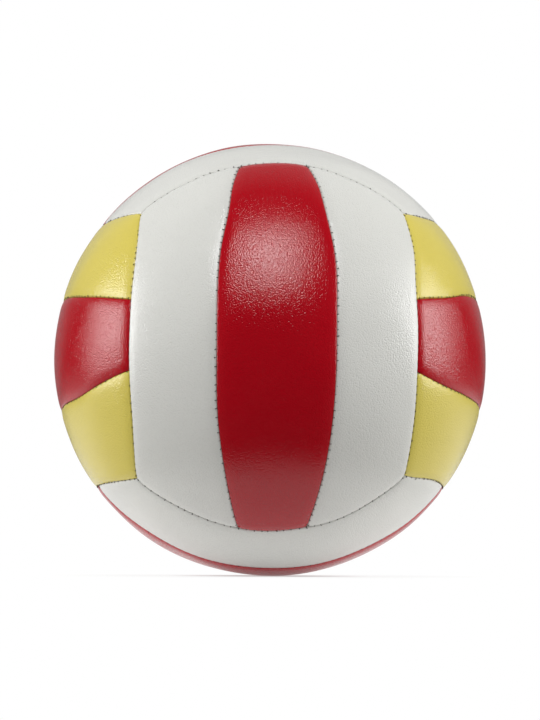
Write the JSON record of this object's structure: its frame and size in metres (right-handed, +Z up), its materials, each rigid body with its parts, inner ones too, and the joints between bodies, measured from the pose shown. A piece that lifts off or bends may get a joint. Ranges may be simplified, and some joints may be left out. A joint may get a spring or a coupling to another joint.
{
  "type": "volleyball",
  "caption": "Indoor volleyball of padded synthetic leather strips sewn in crossed faces over an air bladder, with a needle valve whose plug pulls out.",
  "frame": {"origin": "centre of the ball", "axes": "+Z up, along the strips of the front face; -Y out of the front face; +Y out of the valve"},
  "size_m": [0.21, 0.2099, 0.21],
  "materials": {
    "white_leather": "fine grain, semi-gloss",
    "red_leather": "fine grain, semi-gloss",
    "yellow_leather": "fine grain, semi-gloss",
    "foam": "open cell, matt",
    "backing_cloth": "plain weave",
    "seam_thread": "twisted, waxed",
    "butyl_rubber": "matt",
    "valve_rubber": "satin",
    "plug_rubber": "satin"
  },
  "bodies": {
    "ball": {"panel_front_left": "white_leather", "panel_front_middle": "red_leather", "panel_front_right": "white_leather", "panel_back_left": "white_leather", "panel_back_middle": "red_leather", "panel_back_right": "white_leather", "panel_left_upper": "yellow_leather", "panel_left_middle": "red_leather", "panel_left_lower": "yellow_leather", "panel_right_upper": "yellow_leather", "panel_right_middle": "red_leather", "panel_right_lower": "yellow_leather", "panel_top_front": "white_leather", "panel_top_middle": "red_leather", "panel_top_back": "white_leather", "panel_bottom_front": "white_leather", "panel_bottom_middle": "red_leather", "panel_bottom_back": "white_leather", "foam_front_left": "foam", "foam_front_middle": "foam", "foam_front_right": "foam", "foam_back_left": "foam", "foam_back_middle": "foam", "foam_back_right": "foam", "foam_left_upper": "foam", "foam_left_middle": "foam", "foam_left_lower": "foam", "foam_right_upper": "foam", "foam_right_middle": "foam", "foam_right_lower": "foam", "foam_top_front": "foam", "foam_top_middle": "foam", "foam_top_back": "foam", "foam_bottom_front": "foam", "foam_bottom_middle": "foam", "foam_bottom_back": "foam", "backing_front_left": "backing_cloth", "backing_front_middle": "backing_cloth", "backing_front_right": "backing_cloth", "backing_back_left": "backing_cloth", "backing_back_middle": "backing_cloth", "backing_back_right": "backing_cloth", "backing_left_upper": "backing_cloth", "backing_left_middle": "backing_cloth", "backing_left_lower": "backing_cloth", "backing_right_upper": "backing_cloth", "backing_right_middle": "backing_cloth", "backing_right_lower": "backing_cloth", "backing_top_front": "backing_cloth", "backing_top_middle": "backing_cloth", "backing_top_back": "backing_cloth", "backing_bottom_front": "backing_cloth", "backing_bottom_middle": "backing_cloth", "backing_bottom_back": "backing_cloth", "strip_seam_thread": "seam_thread", "face_seam_thread": "seam_thread", "bladder": "butyl_rubber", "valve_housing": "valve_rubber"},
    "valve_plug": {"valve_plug": "plug_rubber"}
  },
  "joints": [
    {"name": "valve_plug_pull", "type": "slide", "parent": "ball", "child": "valve_plug", "axis": [0, 1, 0], "range_m": [0, 0.03]}
  ]
}
